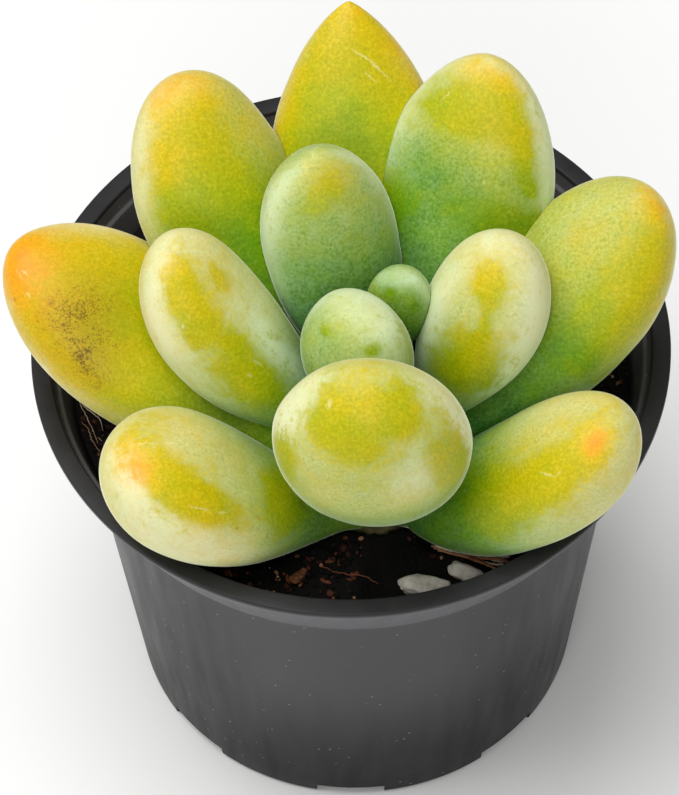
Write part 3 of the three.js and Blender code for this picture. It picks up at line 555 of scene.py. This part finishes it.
# Matt white laminate that the pot stands on
def pale_floor():
    material, add, place = new_material("matt_white_laminate")
    cloud = add("TexNoise", {"Vector": place, "Scale": per_mm(180), "Detail": 3})
    colour = add("ValToRGB", {0: cloud}, stops=[(0.3, "#f1f1ef"), (0.7, "#f6f6f5")])
    return finished(material, add, colour, (cloud, 0.3, 0.7, 0.6, 0.7), None, {"Specular IOR Level": 0.2})


def unit(vectors):
    """The vectors, each made 1 long."""
    return vectors / np.linalg.norm(vectors, axis=-1, keepdims=True)


def write_fields(mesh, fields):
    """Writes each field, a number or a vector for each point, to the mesh."""
    for field, values in fields.items():
        values = np.asarray(values, np.float32)
        kind, name = ("FLOAT", "value") if values.ndim == 1 else ("FLOAT_VECTOR", "vector")
        attribute = mesh.attributes.get(field) or mesh.attributes.new(field, kind, "POINT")
        attribute.data.foreach_set(name, values.ravel())


def bare_object(name, points, faces):
    """An object from points in millimetres, with no material and on no body."""
    mesh = bpy.data.meshes.new(name)
    mesh.from_pydata((np.asarray(points) * MM).tolist(), [], faces)
    made = bpy.data.objects.new(name, mesh)
    bpy.context.scene.collection.objects.link(made)
    return made


def new_piece(name, points, faces, material, replaces=(), fields=None):
    """A piece from points in millimetres, riding on the one body."""
    piece = bare_object(name, points, faces)
    write_fields(piece.data, fields or {})
    piece.data.materials.append(material)
    piece.data.shade_smooth()
    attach(piece, "root")
    if replaces:
        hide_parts(*replaces)
    return piece


def grid_faces(rows, sides, first=0):
    """Faces between rings of points that run round an axis."""
    faces = []
    for row in range(rows - 1):
        for side in range(sides):
            low, after = first + row * sides, (side + 1) % sides
            faces.append((low + side, low + after, low + sides + after, low + sides + side))
    return faces


def uneven(points, lumps):
    """Height of the uneven places at points in millimetres."""
    heights = np.zeros(len(points))
    for size, height in lumps:
        heights += height * np.array([noise.noise(Vector(p / size)) for p in points])
    return heights


# Leaf geometry: the same middle line and fullness as in the CAD
def stem_at(height):
    """The middle of the stem at this height."""
    return STEM_FOOT + STEM_LEAN * (height - STEM_FOOT[2])


def leaf_line(leaf):
    """Foot, middle and tip of the leaf's middle line, and the direction across it."""
    on_stem, tip = stem_at(leaf["root"]), np.array(leaf["tip"], float)
    heading = math.atan2(*(tip - on_stem)[1::-1]) if leaf["start"] is None else math.radians(leaf["start"])
    foot = on_stem + leaf["out"] * np.array([math.cos(heading), math.sin(heading), 0])
    along = unit(tip - foot)
    side = unit(np.cross((0, 0, 1), along))
    up = np.cross(along, side)
    middle = (foot + tip) / 2 - 2 * leaf["sag"] * up + 2 * leaf["bow"] * side
    return foot, middle, tip, side


def fullness(share, leaf):
    """The leaf's width at a share of its length, as a share of its full width."""
    to_belly = np.clip(1 - share / leaf["belly"], 0, 1)
    past_belly = np.clip((share - leaf["belly"]) / (1 - leaf["belly"]), 0, 1)
    lower = leaf["neck"] + (1 - leaf["neck"]) * (1 - to_belly ** 2) ** leaf["swell"]
    upper = (1 - past_belly ** 2) ** leaf["blunt"]
    return np.where(share < leaf["belly"], lower, upper)


def leaf_rings(leaf, share):
    """Centres and directions of the leaf's rings at these shares of its length, and how full they are."""
    foot, middle, tip, side = leaf_line(leaf)
    s = share[:, None]
    centres = (1 - s) ** 2 * foot + 2 * s * (1 - s) * middle + s ** 2 * tip
    along = unit(2 * (1 - s) * (middle - foot) + 2 * s * (tip - middle))
    across = unit(side - along * (along @ side)[:, None])
    return centres, along, across, np.cross(along, across), fullness(share, leaf)


def inside_leaf(leaf, points, grow):
    """Which points lie inside the leaf grown by that much."""
    centres, _, across, up, full = leaf["rings"]
    nearest = ((points[:, None] - centres) ** 2).sum(-1).argmin(1)
    offset = points - centres[nearest]
    sideways = (offset * across[nearest]).sum(-1)
    rise = (offset * up[nearest]).sum(-1)
    share = np.where(rise > 0, UPPER_SHARE, 1 - UPPER_SHARE)
    wide = leaf["width"] / 2 * full[nearest] + grow
    deep = leaf["thick"] * share * full[nearest] + grow
    return (sideways / wide) ** 2 + (rise / deep) ** 2 < 1


def inside_stem(points, grow):
    """Which points lie inside the stem grown by that much."""
    rise = points[:, 2] - STEM_FOOT[2]
    radius = np.interp(rise, [r for _, r in STEM_PROFILE], [r for r, _ in STEM_PROFILE])
    from_axis = np.hypot(*(points - STEM_FOOT - rise[:, None] * STEM_LEAN).T[:2])
    return (from_axis < radius + grow) & (rise < STEM_TOP + grow)


def draw_in(points, centres, inside):
    """Points inside a neighbour move towards their ring's centre until they are out of it."""
    caught = np.flatnonzero(inside(points))
    if not len(caught):
        return
    start, reach = centres[caught], points[caught] - centres[caught]
    low, high = np.zeros(len(caught)), np.ones(len(caught))
    for _ in range(HALVINGS):
        half = (low + high) / 2
        blocked = inside(start + half[:, None] * reach)
        high = np.where(blocked, half, high)
        low = np.where(blocked, low, half)
    points[caught] = start + low[:, None] * reach


def leaf_point(leaf, along, around):
    """The skin's place, its direction out and its direction along, at a share of the length and a turn."""
    centres, heading, across, up, full = (v[0] for v in leaf_rings(leaf, np.array([along])))
    turn = math.radians(around)
    deep = leaf["thick"] * (UPPER_SHARE if math.sin(turn) > 0 else 1 - UPPER_SHARE)
    wide = leaf["width"] / 2
    place = centres + full * (wide * math.cos(turn) * across + deep * math.sin(turn) * up)
    out = unit(math.cos(turn) / wide * across + math.sin(turn) / deep * up)
    return place, out, heading


def leaf_marks(leaf):
    """The leaf's marks as colour, middle, turn and half sizes in metres."""
    marks = []
    for shade, width, start, end in MARKS.get(leaf["name"], []):
        first, _, _ = leaf_point(leaf, *start)
        last, _, _ = leaf_point(leaf, *end)
        _, out, _ = leaf_point(leaf, *np.add(start, end) / 2)
        run = unit(last - first)
        side = unit(np.cross(out, run))
        turn = Matrix(np.stack([run, side, np.cross(run, side)], 1).tolist()).to_euler()
        half = (np.linalg.norm(last - first) / 2 + width / 2, width / 2, MARK_DEPTH)
        middle = (first + last) / 2
        marks.append((MARK_COLOURS[shade], tuple(middle * MM), tuple(turn), tuple(h * MM for h in half)))
    return marks


def ramp(share, start, length):
    """0 up to start, then rising evenly to 1 over the length."""
    return np.clip((share - start) / length, 0, 1)


def leaf_fields(leaf, share, turn):
    """The painted fields at each point, from its share of the length and its turn in degrees."""
    young, old = leaf["ripe"]
    rise = ramp(share, *RIPENING)
    fields = {
        "ripe": young + (old - young) * rise * rise * (3 - 2 * rise),
        # Less bloom towards the foot, so the foot shows its darker skin: partly the real teal of young skin
        # and partly painted shade, where the rosette's middle lies in shade
        "bloom_and_sheen": leaf["bloom_and_sheen"] * (SHADED_FOOT_BLOOM + (1 - SHADED_FOOT_BLOOM) * ramp(share, *BLOOM_RISE)),
        "rubbed": np.zeros(len(share)),
        "specks": np.zeros(len(share)),
    }
    wide, deep = leaf["width"] / 2, leaf["thick"] / 2
    radians = np.radians(turn)
    edge = np.cos(radians) ** RIM_NARROW
    near_tip = ramp(share, *RIM_EVENS_OUT) ** 2
    # A pale band along both edges, going all round near the tip: partly real wax, partly painted sheen
    fields["bloom_and_sheen"] += leaf["rim"] * (edge + (TIP_RIM - edge) * near_tip) * ramp(share, *RIM_RISE)
    leaf_length = np.linalg.norm(np.subtract(leaf["tip"], stem_at(leaf["root"])))
    full = fullness(share, leaf)
    fields["run"] = MM * np.stack([share * leaf_length, wide * full * np.cos(radians),
                                   deep * full * np.sin(radians)], 1)
    for field, touches in leaf["touches"].items():
        for along, around, length, spread, amount in touches:
            away = (turn - around + 180) % 360 - 180
            away = away * np.minimum(full / fullness(np.array([along]), leaf), 1)
            near = np.exp(-((share - along) / length) ** 2 - (away / spread) ** 2)
            fields[field] += amount * near
    return fields


def leaf_skin_points(leaf, rows, sides, grow):
    """The leaf's rings, grown on all sides, with the share and turn of each point."""
    even = np.linspace(0, 1, rows)
    share = np.where(even < 0.5, 2 * even * leaf["belly"],
                     leaf["belly"] + (1 - leaf["belly"]) * np.sin(np.pi * (even - 0.5)))
    centres, along, across, up, full = leaf_rings(leaf, share)
    turn = np.linspace(0, 2 * np.pi, sides, endpoint=False)
    deep = leaf["thick"] * np.where(np.sin(turn) > 0, UPPER_SHARE, 1 - UPPER_SHARE)
    wide = leaf["width"] / 2 * full[:, None] + grow
    sideways = across[:, None] * (wide * np.cos(turn))[:, :, None]
    rise = up[:, None] * ((deep * full[:, None] + grow) * np.sin(turn))[:, :, None]
    rings = centres[:, None] + sideways + rise
    rings[0] -= (FOOT_TAIL + grow) * along[0]
    points = rings[:-1].reshape(-1, 3)
    middle = np.repeat(centres[:-1], sides, axis=0)
    height = uneven(points, LUMPS) * np.repeat(full[:-1] ** 0.5, sides)
    points = points + unit(points - middle) * height[:, None]
    ends = [centres[0] - (FOOT_TAIL + grow) * along[0], centres[-1] + grow * along[-1]]
    shares = np.append(np.repeat(share[:-1], sides), [0, 1])
    turns = np.append(np.tile(np.degrees(turn), rows - 1), [90, 90])
    return np.vstack([points, ends]), closed_faces(rows - 1, sides), shares, turns


def closed_faces(rows, sides):
    """Faces of rings of points closed by two more points, the first ring's and the last ring's."""
    faces = grid_faces(rows, sides)
    first, last = rows * sides, (rows - 1) * sides
    for side in range(sides):
        after = (side + 1) % sides
        faces.append((first, after, side))
        faces.append((first + 1, last + side, last + after))
    return faces


def boxes_meet(first, second):
    """Whether two boxes overlap."""
    (low, high), (other_low, other_high) = first, second
    return bool(np.all(low < other_high) and np.all(other_low < high))


def span(points):
    """The lowest and the highest corner of the points' box."""
    return points.min(0), points.max(0)


def cut_away(piece, tools):
    """Cuts the tools off the piece and keeps the largest part that is left."""
    for cutter in tools:
        cut = piece.modifiers.new(cutter.name, "BOOLEAN")
        cut.operation, cut.object, cut.solver = "DIFFERENCE", cutter, "MANIFOLD"
    apply_modifiers(piece)
    body = bmesh.new()
    body.from_mesh(piece.data)
    body.verts.ensure_lookup_table()
    parts, seen = [], set()
    for vertex in body.verts:
        if vertex.index in seen:
            continue
        part, edge = [], [vertex]
        seen.add(vertex.index)
        while edge:
            here = edge.pop()
            part.append(here)
            for link in here.link_edges:
                there = link.other_vert(here)
                if there.index not in seen:
                    seen.add(there.index)
                    edge.append(there)
        parts.append(part)
    parts.sort(key=len)
    for part in parts[:-1]:
        bmesh.ops.delete(body, geom=part, context="VERTS")
    body.to_mesh(piece.data)
    body.free()
    piece.data.set_sharp_from_angle(angle=SHARP_EDGE)


def restore_fields(piece, points, fields):
    """Gives each point of a cut piece the fields of the nearest point before the cut."""
    nearest = kdtree.KDTree(len(points))
    for i, point in enumerate(points * MM):
        nearest.insert(point, i)
    nearest.balance()
    found = [nearest.find(vertex.co)[1] for vertex in piece.data.vertices]
    write_fields(piece.data, {field: np.asarray(values)[found] for field, values in fields.items()})


def make_leaf(leaf, tools, material):
    """The leaf's skin, cut back where the stem, the rim or an earlier leaf stands."""
    points, faces, shares, turns = leaf_skin_points(leaf, LEAF_ROWS, LEAF_SIDES, 0)
    fields = leaf_fields(leaf, shares, turns)
    piece = new_piece(leaf["name"] + "_skin", points, faces, material, [leaf["name"]], fields)
    room = span(points)
    cut_away(piece, [cutter for cutter, its_room in tools if boxes_meet(room, its_room)])
    restore_fields(piece, points, fields)


def tool(name, points, faces):
    """An object to cut with, and its box."""
    return bare_object(name, points, faces), span(points)


def leaf_tool(leaf):
    """Room round a leaf, for the leaves after it."""
    points, faces, _, _ = leaf_skin_points(leaf, LEAF_ROWS // 2, LEAF_SIDES // 2, PRESS_GAP)
    return tool(leaf["name"] + "_room", points, faces)


def stem_tool():
    """Room round the stem, for all the leaves."""
    points, faces = stem_form(PRESS_GAP, rows=40, sides=40)
    return tool("stem_room", points, faces)


def turned(profile, sides):
    """A ring of points about the Z axis for each radius and height of the profile."""
    turn = np.linspace(0, 2 * np.pi, sides, endpoint=False)
    rings = [np.stack([r * np.cos(turn), r * np.sin(turn), np.full(sides, z)], 1) for r, z in profile]
    return np.vstack(rings)


def rim_tool():
    """Room round the pot's lip, for the leaves that lean over it."""
    inwards, down = RIM_ROOM
    inside, outside = RIM_RADIUS - RIM_WIDTH - PRESS_GAP, RIM_RADIUS + PRESS_GAP
    top, bottom = POT_HEIGHT + PRESS_GAP, LEDGE - down
    ring = [(inside - inwards, bottom), (outside, bottom), (outside, top), (inside, top),
            (inside - inwards, LEDGE)]
    points = turned(ring, POT_SIDES)
    faces = grid_faces(len(ring), POT_SIDES)
    last = (len(ring) - 1) * POT_SIDES
    for side in range(POT_SIDES):
        after = (side + 1) % POT_SIDES
        faces.append((last + side, last + after, after, side))
    return tool("rim_room", points, faces)


def rounded(profile):
    """The profile with its inner corners turned to small arcs, and long runs cut into rows."""
    points = [profile[0]]
    for before, corner, after in zip(profile, profile[1:], profile[2:]):
        before, corner, after = (np.array(p, float) for p in (before, corner, after))
        cut = min(ROUNDING, np.linalg.norm(corner - before) / 2, np.linalg.norm(after - corner) / 2)
        first = corner + unit(before - corner) * cut
        final = corner + unit(after - corner) * cut
        rows = max(1, int(np.linalg.norm(first - points[-1]) / WALL_ROW))
        points += [points[-1] + (first - points[-1]) * (i + 1) / rows for i in range(rows)]
        for i in range(1, ROUNDING_STEPS + 1):
            s = i / ROUNDING_STEPS
            points.append((1 - s) ** 2 * first + 2 * s * (1 - s) * corner + s ** 2 * final)
    return [tuple(p) for p in points] + [profile[-1]]


def lathe(profile, sides):
    """Points and faces of a closed form turned about the Z axis. The profile's ends are on the axis."""
    ends = [(0, 0, profile[0][1]), (0, 0, profile[-1][1])]
    return np.vstack([turned(profile[1:-1], sides), ends]), closed_faces(len(profile) - 2, sides)


def around_pot(points, radius, degrees):
    """The points moved out by the radius, then turned about the Z axis."""
    turn = math.radians(degrees)
    moved = np.asarray(points, float) + (radius, 0, 0)
    spin = np.array([[math.cos(turn), -math.sin(turn), 0], [math.sin(turn), math.cos(turn), 0], [0, 0, 1]])
    return moved @ spin.T


def make_pot(material):
    ring_inside = BASE_RADIUS - FOOT_RING_WIDTH
    lip_under = POT_HEIGHT - LIP_EDGE
    profile = [
        (0, 0), (PAD_RADIUS, 0), (PAD_RADIUS + EDGE_BEVEL, RECESS), (ring_inside - EDGE_BEVEL, RECESS),
        (ring_inside, 0), (BASE_RADIUS - EDGE_BEVEL, 0), (BASE_RADIUS, EDGE_BEVEL),
        (COLLAR_RADIUS - COLLAR_STEP, BODY_TOP), (COLLAR_RADIUS, COLLAR_FOOT),
        (RIM_RADIUS - LIP_CHAMFER, lip_under - LIP_CHAMFER), (RIM_RADIUS, lip_under),
        (RIM_RADIUS, POT_HEIGHT), (RIM_RADIUS - RIM_WIDTH, POT_HEIGHT),
        (RIM_RADIUS - RIM_WIDTH - EDGE_BEVEL, LEDGE), (RIM_RADIUS - RIM_WIDTH - 2 * EDGE_BEVEL, LEDGE),
        (COLLAR_RADIUS - WALL, COLLAR_FOOT), (COLLAR_RADIUS - COLLAR_STEP - WALL, BODY_TOP),
        (BASE_RADIUS - WALL, FLOOR_TOP), (0, FLOOR_TOP),
    ]
    points, faces = lathe(rounded(profile), POT_SIDES)
    pot = new_piece("pot_shell", points, faces, material, ["pot"])
    cutters = []
    notch = [(x * FOOT_RING_WIDTH, y * NOTCH_WIDTH / 2, z * NOTCH_HEIGHT)
             for x in (-1, 1) for y in (-1, 1) for z in (-1, 1)]
    box = [(0, 1, 3, 2), (4, 6, 7, 5), (0, 4, 5, 1), (2, 3, 7, 6), (0, 2, 6, 4), (1, 5, 7, 3)]
    for i in range(NOTCH_COUNT):
        placed = around_pot(notch, BASE_RADIUS, NOTCH_TURN + i * 360 / NOTCH_COUNT)
        cutters.append(bare_object(f"notch_{i}", placed, box))
    tall = 2 * FLOOR_TOP
    drain, drain_faces = lathe([(0, -tall), (DRAIN_RADIUS, -tall), (DRAIN_RADIUS, tall), (0, tall)],
                               DRAIN_SIDES)
    for i in range(DRAIN_COUNT):
        placed = around_pot(drain, DRAIN_CIRCLE, i * 360 / DRAIN_COUNT)
        cutters.append(bare_object(f"drain_{i}", placed, drain_faces))
    cut_away(pot, cutters)
    for used in cutters:
        bpy.data.objects.remove(used)


def apply_modifiers(piece):
    """Turns the piece's modifiers into its mesh."""
    bpy.context.view_layer.update()
    evaluated = piece.evaluated_get(bpy.context.evaluated_depsgraph_get())
    mesh = bpy.data.meshes.new_from_object(evaluated)
    piece.modifiers.clear()
    piece.data = mesh


def soil_height(x, y):
    """The soil's top, with the CAD's waves, fading out at the pot's wall."""
    fade = np.clip(WAVE_FADE * (1 - np.hypot(x, y) / SOIL_EDGE), 0, 1)
    waves = sum(share * np.sin(a * x) * np.cos(b * y) for a, b, share in SOIL_WAVES)
    return SOIL_LEVEL + SOIL_BUMP * fade * waves


def ground(x, y):
    """The soil's top with its clods."""
    fade = np.clip(CLOD_FADE * (1 - np.hypot(x, y) / SOIL_EDGE), CLOD_LEAST, 1)
    return soil_height(x, y) + fade * uneven(np.column_stack([x, y, 0 * x]), CLODS)


def blob(dice, size, proportions, level, cuts=LUMP_CUTS, depth=LUMP_DEPTH):
    """Points and faces of a rough lump with flat broken faces, cut at these shares of its radius. One
    without proportions lies any way up."""
    ball = bmesh.new()
    bmesh.ops.create_icosphere(ball, subdivisions=level, radius=1)
    points = np.array([v.co for v in ball.verts])
    faces = [tuple(v.index for v in f.verts) for f in ball.faces]
    ball.free()
    for _ in range(cuts):
        plane = unit(dice.normal(size=3))
        over = np.clip(points @ plane - dice.uniform(*depth), 0, None)
        points = points - over[:, None] * plane
    shift = dice.uniform(0, 50, 3)
    height, close = LUMP_UNEVEN
    bumps = np.array([noise.noise(Vector(p * close + shift)) for p in points])
    points = points * (1 + height * bumps)[:, None]
    low, high = span(points)
    points = (2 * points - low - high) / (high - low)
    if proportions is None:
        spin = Quaternion(dice.normal(size=4)).normalized().to_matrix()
        shape = (1, dice.uniform(LUMP_LOW, 1), LUMP_LOW)
        return points * shape * size @ np.array(spin).T, faces
    return points * proportions * size, faces


def strand(dice, knots, thickness):
    """A thin strand lying on the soil through these places, with a gentle waver."""
    knots = np.array(knots, float)
    place = np.linspace(0, len(knots) - 1, STRAND_STEPS * len(knots))
    line = np.stack([np.interp(place, range(len(knots)), knots[:, i]) for i in (0, 1)], 1)
    line = np.array([line[max(i - STRAND_EASE, 0):i + STRAND_EASE + 1].mean(0) for i in range(len(line))])
    line += dice.normal(0, STRAND_SHAKE, line.shape)
    waver = STRAND_WAVER * np.sin(place * 2 + dice.uniform(0, 6))
    rise = ground(line[:, 0], line[:, 1]) + thickness / 2 + STRAND_RISE + waver
    centres = np.column_stack([line, rise])
    along = unit(np.gradient(centres, axis=0))
    side = unit(np.cross(along, (0, 0, 1)))
    up = np.cross(side, along)
    turn = np.linspace(0, 2 * np.pi, STRAND_SIDES, endpoint=False)[:, None]
    swell = np.sin(np.linspace(STRAND_TAPER, np.pi - STRAND_TAPER, len(line))) ** 0.5
    radius = thickness / 2 * swell[:, None, None]
    rings = centres[:, None] + radius * (np.cos(turn) * side[:, None] + np.sin(turn) * up[:, None])
    points = np.vstack([rings.reshape(-1, 3), centres[:1], centres[-1:]])
    return points, closed_faces(len(line), STRAND_SIDES)


def joined(parts):
    """Points, faces and tones of several forms as one."""
    points, faces, tones = [], [], []
    total = 0
    for part, part_faces, tone in parts:
        points.append(part)
        tones.append(np.broadcast_to(tone, len(part)))
        faces += [tuple(corner + total for corner in face) for face in part_faces]
        total += len(part)
    return np.vstack(points), faces, np.concatenate(tones)


def make_soil(leaves, material):
    """The bed with its hollows round leaves and stem, and the crumbs, flakes and strands on it."""
    dice = np.random.default_rng(CRUMB_SEED)
    inner = [(0, FLOOR_TOP + GAP), (BASE_RADIUS - WALL - GAP, FLOOR_TOP + GAP),
             (COLLAR_RADIUS - COLLAR_STEP - WALL - GAP, BODY_TOP + GAP),
             (COLLAR_RADIUS - WALL - GAP, COLLAR_FOOT + GAP)]
    top = [(SOIL_EDGE * (1 - i / SOIL_RINGS), SOIL_LEVEL) for i in range(SOIL_RINGS + 1)]
    points, faces = lathe(inner + top, SOIL_SIDES)
    upper = np.flatnonzero(points[:, 2] > SOIL_LEVEL - GAP)
    surface = points[upper]
    surface[:, 2] = ground(surface[:, 0], surface[:, 1])
    below = surface - (0, 0, HOLLOW_DEPTH)
    for leaf in leaves:
        draw_in(surface, below, lambda p: inside_leaf(leaf, p, GAP))
    draw_in(surface, below, lambda p: inside_stem(p, GAP))
    points[upper] = surface
    tone, varies = SOIL_TONE
    parts = [(points, faces, tone + varies * uneven(points, SOIL_SHADES))]
    for count, smallest, largest, proportions, dark, light in CRUMBS:
        size = dice.uniform(smallest, largest, count)
        room = CRUMB_ROOM * size
        radius = (SOIL_EDGE - room) * np.sqrt(dice.uniform(0, 1, count))
        turn = dice.uniform(0, 2 * np.pi, count)
        x, y = radius * np.cos(turn), radius * np.sin(turn)
        places = np.column_stack([x, y, ground(x, y) + CRUMB_RISE * size])
        taken = inside_stem(places, GAP + room)
        for leaf in leaves:
            taken |= inside_leaf(leaf, places, GAP + room)
        for i in np.flatnonzero(~taken):
            lump, lump_faces = blob(dice, size[i], proportions, level=1)
            lump = around_pot(lump, 0, dice.uniform(0, 360)) + places[i]
            parts.append((lump, lump_faces, dice.uniform(dark, light)))
    for knots, thickness, tone in STRANDS:
        parts.append((*strand(dice, knots, thickness), tone))
    points, faces, tones = joined(parts)
    new_piece("soil_bed", points, faces, material, ["soil"], {"tone": tones})


def stem_form(grow, rows, sides):
    """Points and faces of the leaning stem, grown on all sides."""
    radii, rises = zip(*STEM_PROFILE)
    rise = np.linspace(rises[0], STEM_TOP + grow, rows)
    height, turns = STEM_WAVES
    radius = np.interp(rise, rises, radii) + grow + height * np.sin(rise * turns)
    points, faces = lathe([(0, rise[0])] + list(zip(radius, rise)) + [(0, rise[-1] + grow)], sides)
    lean = points[:, 2:] * STEM_LEAN[:2]
    points = points + STEM_FOOT
    points[:, :2] += lean
    return points, faces


def make_stem(material):
    points, faces = stem_form(0, rows=90, sides=64)
    new_piece("stem_core", points, faces, material, ["stem"])


def make_loose(piece, material, cuts=LUMP_CUTS, depth=LUMP_DEPTH, taper=0):
    """A loose piece on the soil. A tapered one is thinner towards its right end."""
    dice = np.random.default_rng(piece["seed"])
    points, faces = blob(dice, 1, (1, 1, 1), level=4, cuts=cuts, depth=depth)
    points[:, 1:] = (points[:, 1:] + 1) * (1 - taper * (1 + points[:, :1]) / 2) - 1
    points = around_pot(points * piece["half"], 0, piece["turn"]) + piece["at"]
    new_piece(piece["name"] + "_broken", points, faces, material, [piece["name"]])


def add_light(name, place, target, size, power):
    light = bpy.data.lights.new(name, "AREA")
    light.size, light.energy = size * MM, power
    lamp = bpy.data.objects.new(name, light)
    bpy.context.scene.collection.objects.link(lamp)
    lamp.location = Vector(place) * MM
    lamp.rotation_euler = (target - Vector(place)).to_track_quat("-Z", "Y").to_euler()


def make_stage():
    corners = [(FLOOR_HALF * x, FLOOR_HALF * y, 0) for x, y in ((-1, -1), (1, -1), (1, 1), (-1, 1))]
    floor = bare_object("floor", corners, [(0, 1, 2, 3)])
    floor.data.materials.append(pale_floor())
    for name, place, size, power in SOFTBOXES:
        add_light(name, place, RIM_CENTRE, size, power)
    world = bpy.data.worlds.new("pale_room")
    world.use_nodes = True
    background = world.node_tree.nodes["Background"].inputs
    background["Color"].default_value = linear("#ffffff")
    background["Strength"].default_value = ROOM_LIGHT
    bpy.context.scene.world = world
    bpy.context.scene.view_settings.view_transform = "Standard"


def make_camera():
    data = bpy.data.cameras.new("camera")
    data.sensor_width = SENSOR
    data.lens = SENSOR * FOCAL_PIXELS / IMAGE_HEIGHT
    data.clip_start, data.clip_end = CLIP
    camera = bpy.data.objects.new("camera", data)
    bpy.context.scene.collection.objects.link(camera)
    back = Vector((0, -math.cos(ELEVATION), math.sin(ELEVATION)))
    camera.location = (RIM_CENTRE + DISTANCE * back) * MM
    aim = (AIM * MM - camera.location).to_track_quat("-Z", "Y")
    camera.rotation_mode = "QUATERNION"
    camera.rotation_quaternion = aim @ Quaternion((0, 0, 1), ROLL)
    bpy.context.scene.camera = camera


make_camera()
make_stage()

leaves = [{**LEAF_FORM, **leaf} for leaf in LEAVES]
for leaf in leaves:
    leaf["rings"] = leaf_rings(leaf, np.linspace(0, 1, RING_STEPS))
marks = {skin: [] for skin in ("leaf_golden", "leaf_green", "leaf_pale")}
for leaf in leaves:
    marks[leaf["skin"]] += leaf_marks(leaf)
skins = {
    "leaf_golden": leaf_skin("leaf_skin_golden", 0.0, marks["leaf_golden"]),
    "leaf_green": leaf_skin("leaf_skin_green", 0.02, marks["leaf_green"]),
    "leaf_pale": leaf_skin("leaf_skin_pale", 0.04, marks["leaf_pale"]),
}
tools = [stem_tool(), rim_tool()]
for leaf in leaves:
    make_leaf(leaf, tools, skins[leaf["skin"]])
    tools.append(leaf_tool(leaf))
for cutter, _ in tools:
    bpy.data.objects.remove(cutter)
make_pot(pot_polypropylene())
make_soil(leaves, potting_soil())
make_stem(stem_bark_in_painted_shade())
marble, bark = crushed_marble(), pine_bark()
for stone in STONES:
    make_loose(stone, marble, cuts=5, depth=(0.6, 0.85), taper=0.3)
for chip in CHIPS:
    make_loose(chip, bark)
